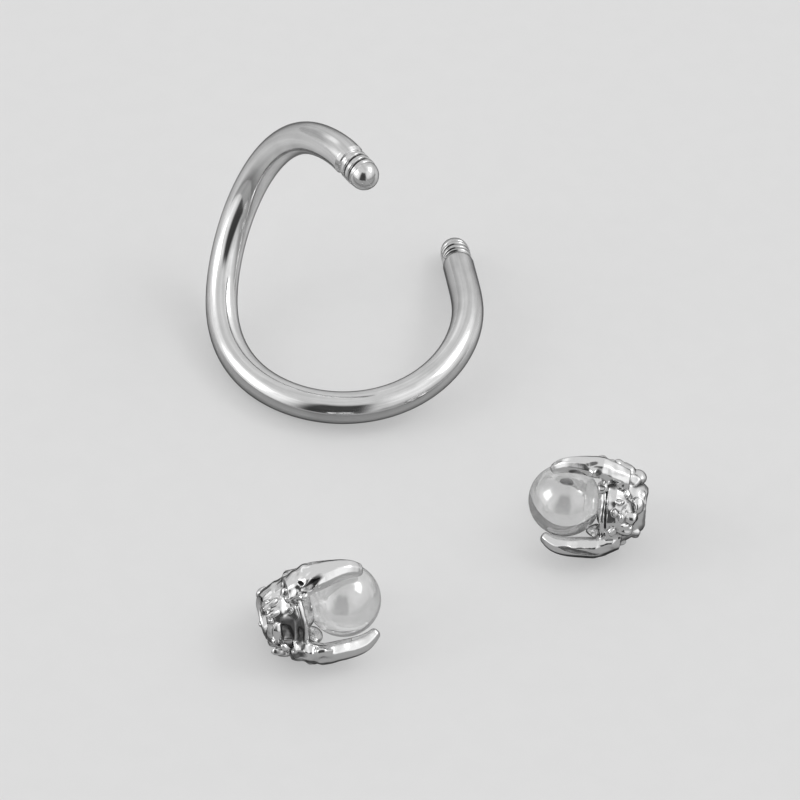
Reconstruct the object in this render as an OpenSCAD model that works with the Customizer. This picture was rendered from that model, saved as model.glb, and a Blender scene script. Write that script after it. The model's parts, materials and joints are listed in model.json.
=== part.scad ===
// Twisted barbell for a cartilage piercing, with both screw-on ends taken off and lying in front of it.
// The post is one round wire: two open arcs with a twist between them and a threaded tip at each end.
// Each screw-on end is a cast claw setting that grips a glass ball.
// Millimetres, +Z up. The origin is the middle of the footprint, on the surface that everything lies on.

/* [Post] */
// Diameter of the wire
wire_d = 1.2; // [1.0:0.05:1.6]
// Inner diameter that the wire is bent around
inner_d = 8; // [7:0.5:10]
// Angle of each bend
bend_sweep = 28.6; // [26:0.1:29]
// Straight stretch behind the thread of the upper tip
upper_lead = 0.2; // [0.2:0.1:2]
// Straight stretch behind the thread of the lower tip
lower_lead = 2.6; // [1:0.1:3]

/* [Threaded tips] */
// Outer diameter of the thread
thread_d = 1.14; // [0.9:0.01:1.2]
// Length of the thread
thread_len = 0.9; // [0.6:0.1:2]
// Length of the undercut between the thread and the wire
neck_len = 0.12; // [0.05:0.01:0.3]
// Height of the rounded nose in front of the thread
nose_h = 0.38; // [0.2:0.02:0.5]

/* [Claw ends] */
// Diameter of the glass ball
ball_d = 2.6; // [2.4:0.1:2.6]
// Distance from the mouth of the claw end to the middle of the ball
ball_z = 2.95; // [2.95:0.05:3.1]
// Gap between the ball and its seat
ball_gap = 0.05; // [0.03:0.01:0.08]
// Diameter of the round body at its widest
body_d = 3.4; // [3.2:0.1:3.6]
// Diameter of the threaded hole
hole_d = 1.2; // [1.1:0.02:1.3]
// Depth of the threaded hole
hole_depth = 1.45; // [1.2:0.05:1.5]
// Number of claws on each end
claw_count = 3; // [2:1:4]

/* [Where the pieces lie] */
// Direction in which the wire leaves the upper tip, seen from above
start_azimuth = 123.5; // [0:0.5:360]
// Rise of the wire where it leaves the upper tip
start_pitch = -2.5; // [-10:0.5:10]
// Side to which the wire first bends
start_roll = -84.5; // [-180:0.5:180]

/* [Hidden] */
$fn = 72;

wire_r = wire_d / 2;
bend_r = inner_d / 2 + wire_r;
thread_r = thread_d / 2;
neck_r = thread_r - 0.09;
nose_r = thread_r - 0.08;

// Each bend stops a little short of the next one, and a short splice that stands hardly proud joins them
splice_gap = 0.03;
splice_len = 0.12;
splice_r = wire_r + 0.003;
gap_angle = splice_gap / bend_r * 180 / PI;

// The straight stretches and the splices taper by this much
taper = 0.002;

// The tips are rooted this deep in the wire, and their noses are drawn in this many steps
root_depth = 0.05;
NOSE_STEPS = 5;
ball_r = ball_d / 2;
seat_r = ball_r + ball_gap;
body_r = body_d / 2;
hole_r = hole_d / 2;

// Turn of the bending plane before each bend, from the upper tip to the lower one
bend_rolls = [0, 16, 10, 4, 0, -26, -28, -14, 4, 4, -10, -26];

// Middle of the upper thread's root, seen from above
start_x = -3.08;
start_y = 5.85;

// Columns of the rows below: x and y of the ball's middle, and the direction from the mouth to the ball
PLACE_X = 0;
PLACE_Y = 1;
PLACE_AZIMUTH = 2;
front_place = [-2.73, -8.57, 17];
right_place = [5.12, -3.44, 173];

// Outline of the claw end's round body: part of body_r across, part of ball_z along
BODY_RIM = 0.60;
body_outline = [[0.50, 0], [0.62, 0.06], [0.80, 0.20], [0.92, 0.34], [1.00, 0.46], [1.00, 0.54], [0.88, BODY_RIM]];

// Outline of a claw seen from the side: distance from the axis, height above the mouth
claw_outer = [[1.20, 1.10], [1.62, 1.35], [1.88, 1.70], [1.96, 2.20], [1.98, 2.75],
              [1.93, 3.10], [1.79, 3.38], [1.60, 3.60], [1.38, 3.70]];
claw_inner = [[1.13, 3.64], [1.20, 3.42], [1.32, 3.10], [1.36, 2.80], [1.28, 2.30], [1.00, 1.90]];

// Half width of a claw seen from outside, and the height above the mouth
claw_face = [[0.62, 1.05], [0.62, 1.60], [0.54, 2.10], [0.40, 2.70], [0.32, 3.15], [0.26, 3.50], [0.16, 3.74]];

// A vector turned about a unit axis
function turned(v, axis, angle) =
    v * cos(angle) + cross(axis, v) * sin(angle) + axis * (axis * v) * (1 - cos(angle));

// A station on the wire is its point, its direction and the side to which the next bend goes
POINT = 0;
ALONG = 1;
SIDE = 2;
function rolled(station, roll) =
    [station[POINT], station[ALONG], turned(station[SIDE], station[ALONG], roll)];
function moved(station, distance) =
    [station[POINT] + distance * station[ALONG], station[ALONG], station[SIDE]];
function bent(station, sweep) = [
    station[POINT] + bend_r * (sin(sweep) * station[ALONG] + (1 - cos(sweep)) * station[SIDE]),
    cos(sweep) * station[ALONG] + sin(sweep) * station[SIDE],
    cos(sweep) * station[SIDE] - sin(sweep) * station[ALONG]
];
function route(station, i = 0) =
    i == len(bend_rolls)
        ? [station]
        : let (here = rolled(station, bend_rolls[i]))
          concat([here], route(bent(here, bend_sweep), i + 1));

// The first station, with the upper thread's root at height z
start_along = [
    cos(start_pitch) * cos(start_azimuth),
    cos(start_pitch) * sin(start_azimuth),
    sin(start_pitch)
];
start_level = [-sin(start_azimuth), cos(start_azimuth), 0];
start_side = turned(start_level, start_along, start_roll);
function start_station(z) = [[start_x, start_y, z], start_along, start_side];

// Lowest point of the wire and of the lower nose when the upper thread's root is at height 0
flat_route = route(moved(start_station(0), upper_lead));
last_bend = len(bend_rolls);
SAMPLES = 8;
bend_lows = [
    for (i = [0 : last_bend - 1], k = [0 : SAMPLES])
        bent(flat_route[i], bend_sweep * k / SAMPLES)[POINT].z - wire_r
];
nose_base = neck_len + thread_len;
nose_middle = moved(flat_route[last_bend], lower_lead + nose_base)[POINT];
post_low = min(concat(bend_lows, [nose_middle.z - thread_r]));

post_start = start_station(-post_low);
post_route = route(moved(post_start, upper_lead));
post_end = moved(post_route[last_bend], lower_lead);

// Puts a shape's x, y and z axes along three given directions at a given point
module set_at(x_axis, y_axis, z_axis, point) {
    multmatrix([
        [x_axis.x, y_axis.x, z_axis.x, point.x],
        [x_axis.y, y_axis.y, z_axis.y, point.y],
        [x_axis.z, y_axis.z, z_axis.z, point.z]
    ])
        children();
}

// Puts a shape's z axis along the wire at a station
module set_along(station) {
    set_at(station[SIDE], cross(station[ALONG], station[SIDE]), station[ALONG], station[POINT])
        children();
}

// One bend of the wire, which starts at a station
module bend(station) {
    along = station[ALONG];
    side = station[SIDE];
    set_at(-side, along, cross(along, side), station[POINT] + bend_r * side)
        rotate([0, 0, gap_angle])
            rotate_extrude(angle = bend_sweep - 2 * gap_angle)
                translate([bend_r, 0])
                    circle(r = wire_r);
}

// The short splice that joins two stretches of wire at a station
module splice(station) {
    set_along(station)
        translate([0, 0, -splice_len / 2])
            cylinder(r1 = splice_r, r2 = splice_r - taper, h = splice_len);
}

// A threaded tip that stands on z = 0: undercut, thread, and rounded nose
module threaded_tip() {
    translate([0, 0, -root_depth])
        cylinder(r1 = neck_r, r2 = neck_r - taper, h = root_depth + nose_base);
    translate([0, 0, neck_len])
        cylinder(r = thread_r, h = thread_len);
    translate([0, 0, nose_base])
        rotate_extrude()
            polygon(concat(
                [[0, 0]],
                [for (k = [0 : NOSE_STEPS]) let (a = 90 * k / NOSE_STEPS) [nose_r * cos(a), nose_h * sin(a)]]
            ));
}

module twister_post() color("silver") {
    last = len(bend_rolls) - 1;
    for (i = [0 : last])
        bend(post_route[i]);
    for (station = post_route)
        splice(station);
    set_along(post_start)
        cylinder(r1 = wire_r - taper, r2 = wire_r, h = upper_lead - splice_gap);
    set_along(moved(post_route[last_bend], splice_gap))
        cylinder(r1 = wire_r, r2 = wire_r - taper, h = lower_lead - splice_gap);
    set_along([post_start[POINT], -post_start[ALONG], post_start[SIDE]])
        threaded_tip();
    set_along(post_end)
        threaded_tip();
}

// Lays an end on its side, with its ball's middle over a place and one claw straight up
module lay_end(place) {
    translate([place[PLACE_X], place[PLACE_Y], body_r])
        rotate([0, 90, place[PLACE_AZIMUTH]])
            translate([0, 0, -ball_z])
                children();
}

// One claw: a slice of a ring of revolution, narrowed towards its point
module claw() {
    intersection() {
        rotate_extrude()
            polygon(concat(claw_outer, claw_inner));
        rotate([90, 0, 90])
            linear_extrude(body_d)
                polygon(concat(
                    claw_face,
                    [for (k = [len(claw_face) - 1 : -1 : 0]) [-claw_face[k][0], claw_face[k][1]]]
                ));
    }
}

module claw_end() {
    difference() {
        union() {
            rotate_extrude()
                polygon(concat(
                    [[0, 0]],
                    [for (row = body_outline) [row[0] * body_r, row[1] * ball_z]],
                    [[0, BODY_RIM * ball_z]]
                ));
            for (k = [0 : claw_count - 1])
                rotate([0, 0, 180 + 360 * k / claw_count])
                    claw();
        }
        translate([0, 0, ball_z])
            sphere(r = seat_r);
        translate([0, 0, -1])
            cylinder(r = hole_r, h = 1 + hole_depth);
    }
}

module glass_ball() {
    translate([0, 0, ball_z])
        sphere(r = ball_r);
}

module claw_front() color("gainsboro") lay_end(front_place) claw_end();
module claw_right() color("gainsboro") lay_end(right_place) claw_end();
module ball_front() color("lightsteelblue") lay_end(front_place) glass_ball();
module ball_right() color("lightsteelblue") lay_end(right_place) glass_ball();

twister_post();
claw_front();
ball_front();
claw_right();
ball_right();
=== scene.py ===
"""Looks of a twisted cartilage barbell that lies beside its two unscrewed claw ends.

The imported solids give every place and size. Each piece here is a finer version of one of them: the bent
wire with its cut threads, the two cast claw ends, and the glass balls that they grip. Pieces are built in
millimetres and turned into metres when their mesh is finished.
"""

import json
import logging
import math
from collections.abc import Callable, Sequence
from dataclasses import dataclass, field
from enum import Enum

import bpy
import numpy as np
from mathutils import Matrix, Vector


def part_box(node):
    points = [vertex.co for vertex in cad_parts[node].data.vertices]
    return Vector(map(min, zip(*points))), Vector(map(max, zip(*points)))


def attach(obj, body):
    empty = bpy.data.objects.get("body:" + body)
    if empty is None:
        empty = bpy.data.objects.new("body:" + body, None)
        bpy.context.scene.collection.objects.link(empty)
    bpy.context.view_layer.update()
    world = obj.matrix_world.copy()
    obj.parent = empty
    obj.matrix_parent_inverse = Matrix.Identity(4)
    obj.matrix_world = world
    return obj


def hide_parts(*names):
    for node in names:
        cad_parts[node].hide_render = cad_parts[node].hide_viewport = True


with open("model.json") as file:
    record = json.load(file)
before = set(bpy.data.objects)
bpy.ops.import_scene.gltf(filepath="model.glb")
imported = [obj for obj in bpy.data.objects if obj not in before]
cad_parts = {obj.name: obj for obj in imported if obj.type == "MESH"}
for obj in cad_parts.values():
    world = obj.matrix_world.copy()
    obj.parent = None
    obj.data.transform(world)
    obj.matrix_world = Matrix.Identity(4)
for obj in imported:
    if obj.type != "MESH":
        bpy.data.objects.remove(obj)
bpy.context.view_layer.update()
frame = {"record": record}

MM = 0.001

# Length of the thread on each tip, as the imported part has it
THREAD_LEN = 0.9

# Points of the swept wire nearer than this, in millimetres, are one point: the poles of the two noses
MERGE_GAP = 1e-5

# Distance that an empty cell holds, in millimetres
EMPTY = 1.0

# The steps that move a casting's skin onto its surface: how many, the longest in cells, least squared slope
SETTLING_STEPS = 3
LONGEST_STEP = 0.4
LEAST_SLOPE_SQUARED = 0.05

# A nugget's planed flats: how many, their range of heights against its half size, and their rounding
FLATS = 6
FLAT_HEIGHTS = (0.66, 0.90)
FLAT_BLEND = 0.07

LOG = logging.getLogger("earring")

# Rows of a claw: distance from the axis, height above the mouth, half width and half thickness
CLAW_ROWS = (
    (1.36, 1.20, 0.52, 0.34),
    (1.60, 1.70, 0.56, 0.35),
    (1.64, 2.25, 0.50, 0.34),
    (1.65, 2.70, 0.40, 0.33),
    (1.61, 3.08, 0.33, 0.30),
    (1.50, 3.36, 0.29, 0.25),
    (1.39, 3.54, 0.25, 0.20),
)

# A claw's section: rounding of the chamfers, where they cut, rounding of the section, and length of the tip
CHAMFER_BLEND = 0.10
CHAMFER = 1.45
SECTION_BLEND = 0.12
TIP_LEN = 0.16

# Steps from one row of a claw to the next
CLAW_STEPS = 5

# A box in an end's own millimetres that holds its threaded hole
HOLE_BOX = ((-1.0, -1.0, -0.2), (1.0, 1.0, 1.8))

Distance = Callable[[np.ndarray, np.ndarray, np.ndarray], np.ndarray]
Outline = tuple[tuple[float, float], ...]


class Slot(Enum):
    """Material slots of the record."""

    WIRE = "polished_wire"
    CLAW = "cast_claw"
    GLASS = "clear_glass"


class Wiring:
    """Short calls that build one node tree."""

    def __init__(self, tree: bpy.types.NodeTree) -> None:
        """Starts on a tree.

        Args:
            tree: The node tree to build.
        """
        self.tree = tree

    def add(self, kind: str, inputs: dict | None = None, **settings: object) -> bpy.types.Node:
        """Adds a node.

        Args:
            kind: The node's type name.
            inputs: Values or sockets for its inputs, by name or number.
            settings: Values for the node's own properties.

        Returns:
            The new node.
        """
        node = self.tree.nodes.new(kind)
        for name, value in settings.items():
            setattr(node, name, value)
        for key, value in (inputs or {}).items():
            if isinstance(value, bpy.types.NodeSocket):
                self.tree.links.new(value, node.inputs[key])
            else:
                node.inputs[key].default_value = value
        return node

    def feed(self, value: bpy.types.NodeSocket, node: bpy.types.Node, name: str) -> None:
        """Links a result to an input of a node that is already there."""
        self.tree.links.new(value, node.inputs[name])

    def math(self, operation: str, *values: object) -> bpy.types.NodeSocket:
        """Adds one sum of plain numbers and returns its result."""
        return self.add("ShaderNodeMath", dict(enumerate(values)), operation=operation).outputs[0]

    def ramp(
        self, value: object, start: float, end: float, low: float = 0.0, high: float = 1.0
    ) -> bpy.types.NodeSocket:
        """Adds a smooth step.

        Args:
            value: The number or socket that it follows.
            start: The value at which the step starts.
            end: The value at which the step ends.
            low: The result before the start.
            high: The result after the end.

        Returns:
            The socket with the result.
        """
        node = self.add(
            "ShaderNodeMapRange",
            {"Value": value, "From Min": start, "From Max": end, "To Min": low, "To Max": high},
            interpolation_type="SMOOTHSTEP",
        )
        return node.outputs["Result"]

    def noise(
        self, vector: object, scale: float, detail: float = 3.0, roughness: float = 0.55
    ) -> bpy.types.NodeSocket:
        """Adds a noise pattern.

        Args:
            vector: The coordinates that it follows.
            scale: How many of its blobs fit in one unit.
            detail: How many finer layers it has.
            roughness: How strong the finer layers are.

        Returns:
            The socket with its value, from 0 to 1.
        """
        inputs = {"Vector": vector, "Scale": scale, "Detail": detail, "Roughness": roughness}
        return self.add("ShaderNodeTexNoise", inputs).outputs[0]

    def rim(self, start: float, end: float) -> bpy.types.NodeSocket:
        """Adds a step that rises where the surface turns away, for a painted dark rim, and returns it."""
        turned_away = self.add("ShaderNodeLayerWeight", {"Blend": 0.5}).outputs["Facing"]
        return self.ramp(turned_away, start, end)

    def tone(self, factor: object, start: object, end: object) -> bpy.types.NodeSocket:
        """Adds a mix of two brightnesses, plain numbers or sockets, and returns it."""
        inputs = {"Value": factor, "To Min": start, "To Max": end}
        return self.add("ShaderNodeMapRange", inputs).outputs["Result"]

    def vector(self, operation: str, inputs: dict) -> bpy.types.NodeSocket:
        """Adds one sum of vectors and returns its result."""
        return self.add("ShaderNodeVectorMath", inputs, operation=operation).outputs[0]

    def in_mm(self) -> bpy.types.NodeSocket:
        """Adds the piece's own coordinates in millimetres and returns them."""
        place = self.add("ShaderNodeTexCoord").outputs["Object"]
        return self.vector("SCALE", {0: place, "Scale": 1 / MM})

    def bump(self, height: bpy.types.NodeSocket, depth: float, shader: bpy.types.Node) -> None:
        """Gives a shader a bump of that depth in metres."""
        bump = self.add("ShaderNodeBump", {"Height": height, "Strength": 1.0, "Distance": depth})
        self.feed(bump.outputs[0], shader, "Normal")

    def read(self, name: str, kind: str = "FLOAT") -> bpy.types.NodeSocket:
        """Adds a stored attribute of the geometry and returns its value."""
        return self.add("GeometryNodeInputNamedAttribute", {"Name": name}, data_type=kind).outputs[0]

    def store(
        self, geometry: bpy.types.NodeSocket, name: str, value: bpy.types.NodeSocket, kind: str = "FLOAT"
    ) -> bpy.types.NodeSocket:
        """Stores a value on each point of the geometry.

        Args:
            geometry: The geometry.
            name: The attribute's name.
            value: What is stored.
            kind: The attribute's type.

        Returns:
            The geometry with the attribute.
        """
        inputs = {"Geometry": geometry, "Name": name}
        node = self.add("GeometryNodeStoreNamedAttribute", inputs, data_type=kind, domain="POINT")
        self.feed(value, node, "Value")
        return node.outputs[0]


def grey(value: float) -> tuple[float, float, float, float]:
    """A neutral colour of one brightness."""
    return (value, value, value, 1.0)


def new_material(name: str) -> tuple[bpy.types.Material, Wiring, bpy.types.Node]:
    """Starts a material.

    Args:
        name: The material's name.

    Returns:
        The material, the wiring of its tree, and its shader.
    """
    material = bpy.data.materials.new(name)
    material.use_nodes = True
    shader = material.node_tree.nodes["Principled BSDF"]
    return material, Wiring(material.node_tree), shader


def make_metal(shader: bpy.types.Node, edge_tint: float) -> None:
    """Makes a shader a metal, with a grey tint at its edges."""
    shader.inputs["Metallic"].default_value = 1.0
    shader.inputs["Specular Tint"].default_value = grey(edge_tint)


@dataclass(frozen=True)
class PolishedWire:
    """Drawn and polished steel wire, with faint lines along it, a painted dark rim that stands for a dark
    reflection, and painted shade in its thread grooves.
    """

    brightness: float = 0.86
    # Brightness at the painted dark rim, a painted reflection
    painted_rim_brightness: float = 0.20
    # Brightness of the painted shade in the thread grooves
    painted_groove_shade: float = 0.10
    smooth: float = 0.07
    worn: float = 0.17
    line_depth: float = 0.0000022
    across_per_mm: float = 3.2
    along_per_mm: float = 0.16
    smears_per_mm: float = 0.9
    edge_tint: float = 0.3
    worn_range: tuple[float, float] = (0.35, 0.75)
    painted_rim_range: tuple[float, float] = (0.62, 0.96)
    line_range: tuple[float, float] = (0.3, 0.7)
    line_tone: float = 0.74
    smear_range: tuple[float, float] = (0.3, 0.6)
    smear_tone: float = 0.86
    painted_groove_range: tuple[float, float] = (0.15, 0.75)

    def material(self) -> bpy.types.Material:
        """Builds the material on the attribute that holds the unbent wire's own coordinates.

        Returns:
            The material.
        """
        material, wires, shader = new_material("polished_wire")
        straight = wires.add("ShaderNodeAttribute", attribute_name="unbent").outputs["Vector"]
        stretch = (self.across_per_mm, self.across_per_mm, self.along_per_mm)
        drawn = wires.add("ShaderNodeMapping", {"Vector": straight, "Scale": stretch}).outputs[0]
        lines = wires.noise(drawn, 1.0, detail=4.0, roughness=0.6)
        smears = wires.noise(straight, self.smears_per_mm)
        wires.feed(wires.ramp(smears, *self.worn_range, self.smooth, self.worn), shader, "Roughness")
        line_tone = wires.ramp(lines, *self.line_range, self.line_tone)
        smear_tone = wires.ramp(smears, *self.smear_range, self.smear_tone)
        streaked = wires.math("MULTIPLY", line_tone, smear_tone)
        # Painted reflection: the base colour darkens towards the rim, where the surface turns away
        share = wires.math("MULTIPLY", streaked, wires.math("SUBTRACT", 1.0, wires.rim(*self.painted_rim_range)))
        plain = wires.tone(share, self.painted_rim_brightness, self.brightness)
        # Painted shade: the thread grooves get a darker base colour
        groove = wires.add("ShaderNodeAttribute", attribute_name="groove").outputs["Fac"]
        tone = wires.tone(wires.ramp(groove, *self.painted_groove_range), plain, self.painted_groove_shade)
        wires.feed(tone, shader, "Base Color")
        wires.bump(lines, self.line_depth, shader)
        make_metal(shader, self.edge_tint)
        return material


@dataclass(frozen=True)
class CastSteel:
    """Cast steel that is polished where it stands proud and dull in its hollows, where tarnish and painted
    shade darken it; its rim is painted darker, a painted reflection.
    """

    brightness: float = 0.84
    # Base colour of the hollows, tarnish with painted shade, and of the painted dark rim
    hollow_shade_and_tarnish: float = 0.18
    painted_rim_brightness: float = 0.25
    smooth: float = 0.12
    hollow_roughness: float = 0.45
    pit_depth: float = 0.000004
    pits_per_mm: float = 3.5
    edge_tint: float = 0.3
    stain: float = 0.12
    stain_range: tuple[float, float] = (0.3, 0.8)
    dark_range: tuple[float, float] = (0.12, 0.85)
    dull_range: tuple[float, float] = (0.0, 0.8)
    painted_rim_range: tuple[float, float] = (0.6, 0.97)

    def material(self) -> bpy.types.Material:
        """Builds the material on the attribute that says how deep in a hollow each point lies.

        Returns:
            The material.
        """
        material, wires, shader = new_material("cast_claw")
        hollow = wires.add("ShaderNodeAttribute", attribute_name="hollow").outputs["Fac"]
        pits = wires.noise(wires.in_mm(), self.pits_per_mm, detail=4.0, roughness=0.6)
        stained = wires.math("ADD", hollow, wires.ramp(pits, *self.stain_range, self.stain, -self.stain))
        # Hollows and pits get a darker base colour: tarnish with painted shade
        depth = wires.ramp(stained, *self.dark_range)
        # Painted reflection: the base colour darkens towards the rim
        bright = wires.tone(wires.rim(*self.painted_rim_range), self.brightness, self.painted_rim_brightness)
        dull = wires.ramp(stained, *self.dull_range, self.smooth, self.hollow_roughness)
        wires.feed(wires.tone(depth, bright, self.hollow_shade_and_tarnish), shader, "Base Color")
        wires.feed(dull, shader, "Roughness")
        wires.bump(pits, self.pit_depth, shader)
        make_metal(shader, self.edge_tint)
        return material


@dataclass(frozen=True)
class BallGlass:
    """Clear glass with a faint milky cloud and small handling marks."""

    brightness: float = 0.93
    cloud_brightness: float = 0.84
    clear_share: float = 0.93
    refraction: float = 1.52
    coat_refraction: float = 2.7
    lets_light_through: float = 0.96
    clouds_per_mm: float = 0.9
    marks_per_mm: float = 4.0
    smooth: float = 0.01
    marked: float = 0.06
    cloud_range: tuple[float, float] = (0.35, 0.7)
    mark_range: tuple[float, float] = (0.5, 0.85)

    def material(self) -> bpy.types.Material:
        """Builds the material on object coordinates.

        Returns:
            The material.
        """
        material, wires, shader = new_material("clear_glass")
        in_mm = wires.in_mm()
        cloud = wires.ramp(wires.noise(in_mm, self.clouds_per_mm, detail=2.0), *self.cloud_range)
        wires.feed(wires.tone(cloud, self.brightness, self.cloud_brightness), shader, "Base Color")
        marks = wires.noise(in_mm, self.marks_per_mm, detail=5.0, roughness=0.7)
        wires.feed(wires.ramp(marks, *self.mark_range, self.smooth, self.marked), shader, "Roughness")
        shader.inputs["Transmission Weight"].default_value = self.clear_share
        shader.inputs["IOR"].default_value = self.refraction
        shader.inputs["Coat Weight"].default_value = 1.0
        shader.inputs["Coat IOR"].default_value = self.coat_refraction
        shader.inputs["Coat Roughness"].default_value = self.marked
        path = wires.add("ShaderNodeLightPath").outputs
        through = wires.math("MAXIMUM", path["Is Shadow Ray"], path["Is Diffuse Ray"])
        through = wires.math("MULTIPLY", through, self.lets_light_through)
        clear = wires.add("ShaderNodeBsdfTransparent").outputs[0]
        mixed = wires.add("ShaderNodeMixShader", {0: through, 1: shader.outputs[0], 2: clear})
        wires.feed(mixed.outputs[0], wires.tree.nodes["Material Output"], "Surface")
        return material


def shown(name: str, mesh: bpy.types.Mesh, node: str) -> bpy.types.Object:
    """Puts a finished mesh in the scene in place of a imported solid.

    Args:
        name: The piece's name.
        mesh: Its mesh, in metres, in its place.
        node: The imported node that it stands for.

    Returns:
        The piece's object.
    """
    piece = bpy.data.objects.new(name, mesh)
    bpy.context.scene.collection.objects.link(piece)
    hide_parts(node)
    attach(piece, "root")
    return piece


def smooth_mesh(
    name: str, points: np.ndarray, faces: Sequence[Sequence[int]], material: bpy.types.Material
) -> bpy.types.Mesh:
    """Makes a smoothly shaded mesh of one material.

    Args:
        name: The mesh's name.
        points: Its points, a row for each.
        faces: The points of each face.
        material: Its material.

    Returns:
        The mesh.
    """
    mesh = bpy.data.meshes.new(name)
    mesh.from_pydata(points.tolist(), [], faces)
    mesh.polygons.foreach_set("use_smooth", np.ones(len(mesh.polygons), bool))
    mesh.materials.append(material)
    return mesh


def mount(name: str) -> tuple[np.ndarray, np.ndarray]:
    """A mount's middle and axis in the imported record.

    Args:
        name: The mount's name.

    Returns:
        Its middle in millimetres and its axis.
    """
    found = next(m for m in frame["record"]["mounts"] if m["name"] == name)
    return np.array(found["pos_m"]) / MM, np.array(found["axis"])


def turned(vector: np.ndarray, axis: np.ndarray, degrees: float) -> np.ndarray:
    """A vector turned about a unit axis.

    Args:
        vector: The vector.
        axis: The axis.
        degrees: How far it turns.

    Returns:
        The turned vector.
    """
    angle = math.radians(degrees)
    across = np.cross(axis, vector)
    kept = axis * (axis @ vector) * (1 - math.cos(angle))
    return vector * math.cos(angle) + across * math.sin(angle) + kept


@dataclass(frozen=True)
class Station:
    """A point on the wire, its direction there, and the side to which the next bend goes."""

    point: np.ndarray
    along: np.ndarray
    side: np.ndarray

    def rolled(self, degrees: float) -> "Station":
        """The same point with the bending plane turned about the wire."""
        return Station(self.point, self.along, turned(self.side, self.along, degrees))

    def moved(self, distance: float) -> "Station":
        """The station that far straight on."""
        return Station(self.point + distance * self.along, self.along, self.side)

    def bent(self, radius: float, degrees: float) -> "Station":
        """The station after a bend.

        Args:
            radius: The bend's radius.
            degrees: The bend's angle.

        Returns:
            The station at its end.
        """
        angle = math.radians(degrees)
        step = math.sin(angle) * self.along + (1 - math.cos(angle)) * self.side
        along = math.cos(angle) * self.along + math.sin(angle) * self.side
        side = math.cos(angle) * self.side - math.sin(angle) * self.along
        return Station(self.point + radius * step, along, side)


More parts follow.
